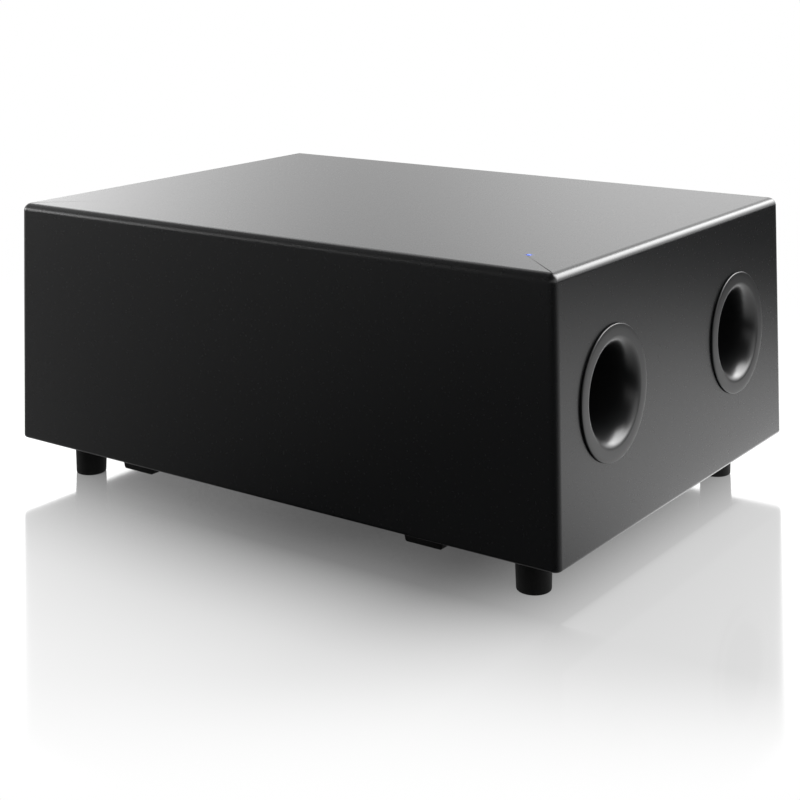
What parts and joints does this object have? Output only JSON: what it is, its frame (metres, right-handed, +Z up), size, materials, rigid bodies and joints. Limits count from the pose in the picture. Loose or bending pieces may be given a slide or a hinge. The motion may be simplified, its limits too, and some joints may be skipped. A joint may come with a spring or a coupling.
{
  "type": "subwoofer",
  "caption": "Low wide powered subwoofer box on rubber feet with two flared side ports, a down-firing woofer and an underside amplifier panel.",
  "frame": {"origin": "on the floor under the feet, under the middle of the whole part with its port flanges", "axes": "+X to the side with the ports, -Y to the front, +Z up"},
  "size_m": [0.442, 0.312, 0.192],
  "materials": {
    "cabinet_lacquer": "satin black lacquer on fibreboard, very fine orange peel",
    "raw_fibreboard": "bare sawn fibreboard",
    "rubber_black": "matt moulded rubber",
    "moulded_black": "satin moulded ABS",
    "coated_steel": "black powder coat, fine texture",
    "zinc_steel": "zinc-plated steel",
    "black_oxide": "black oxide screw steel",
    "heat_sink_aluminium": "extruded aluminium",
    "ferrite": "fired and ground ferrite",
    "cone_paper": "coated paper pulp, fibrous",
    "spider_cloth": "resin-treated woven cotton",
    "copper": "copper",
    "circuit_board": "solder mask on glass epoxy",
    "wadding": "polyester wadding",
    "light_pipe": "clear moulded light pipe, lit blue"
  },
  "bodies": {
    "cabinet": {"cabinet_shell": "cabinet_lacquer", "bottom_baffle": "cabinet_lacquer", "internal_brace": "raw_fibreboard", "damping_wadding": "wadding", "port_tube_front": "moulded_black", "port_tube_rear": "moulded_black", "led_lens": "light_pipe", "led_board": "circuit_board", "front_pad_left": "rubber_black", "front_pad_right": "rubber_black", "woofer_basket": "coated_steel", "woofer_gasket": "rubber_black", "top_plate": "zinc_steel", "magnet_ring": "ferrite", "pole_yoke": "zinc_steel", "terminal_strip": "circuit_board", "amp_panel": "coated_steel", "amp_can": "zinc_steel", "amp_board": "circuit_board", "power_transformer": "ferrite", "heat_sink": "heat_sink_aluminium", "volume_pot": "zinc_steel", "crossover_pot": "zinc_steel", "power_switch_case": "moulded_black", "line_jack_left": "zinc_steel", "line_jack_right": "zinc_steel", "mains_inlet": "moulded_black", "speaker_cable": "rubber_black", "foot_front_left": "rubber_black", "foot_screw_front_left": "zinc_steel", "foot_front_right": "rubber_black", "foot_screw_front_right": "zinc_steel", "foot_rear_right": "rubber_black", "foot_screw_rear_right": "zinc_steel", "foot_rear_left": "rubber_black", "foot_screw_rear_left": "zinc_steel", "woofer_screw_1": "black_oxide", "woofer_screw_2": "black_oxide", "woofer_screw_3": "black_oxide", "woofer_screw_4": "black_oxide", "woofer_screw_5": "black_oxide", "woofer_screw_6": "black_oxide", "woofer_screw_7": "black_oxide", "woofer_screw_8": "black_oxide", "amp_screw_1": "black_oxide", "amp_screw_2": "black_oxide", "amp_screw_3": "black_oxide", "amp_screw_4": "black_oxide"},
    "cone_assembly": {"cone": "cone_paper", "dust_cap": "cone_paper", "voice_coil": "copper", "surround": "rubber_black", "spider": "spider_cloth", "lead_wire_a": "copper", "lead_wire_b": "copper"},
    "volume_control": {"volume_knob": "moulded_black"},
    "crossover_control": {"crossover_knob": "moulded_black"},
    "phase_slider": {"phase_switch": "moulded_black"},
    "pairing_key": {"pairing_button": "moulded_black"},
    "power_key": {"power_rocker": "moulded_black"}
  },
  "joints": [
    {"name": "cone_travel", "type": "slide", "parent": "cabinet", "child": "cone_assembly", "axis": [0, 0, 1], "range_m": [-0.008, 0.008], "stiffness_N_per_m": 1800, "deforming": ["surround", "spider", "lead_wire_a", "lead_wire_b"]},
    {"name": "volume_turn", "type": "hinge", "parent": "cabinet", "child": "volume_control", "pos_m": [0.08695, 0.042, 0.022], "axis": [0, 0, 1], "range_deg": [-150, 150]},
    {"name": "crossover_turn", "type": "hinge", "parent": "cabinet", "child": "crossover_control", "pos_m": [0.13495, 0.042, 0.022], "axis": [0, 0, 1], "range_deg": [-150, 150]},
    {"name": "phase_slide", "type": "slide", "parent": "cabinet", "child": "phase_slider", "axis": [0, 1, 0], "range_m": [0, 0.003]},
    {"name": "pairing_press", "type": "slide", "parent": "cabinet", "child": "pairing_key", "axis": [0, 0, 1], "range_m": [0, 0.001], "stiffness_N_per_m": 60},
    {"name": "power_rock", "type": "hinge", "parent": "cabinet", "child": "power_key", "pos_m": [0.13495, 0.01, 0.0295], "axis": [1, 0, 0], "range_deg": [0, 16]}
  ]
}
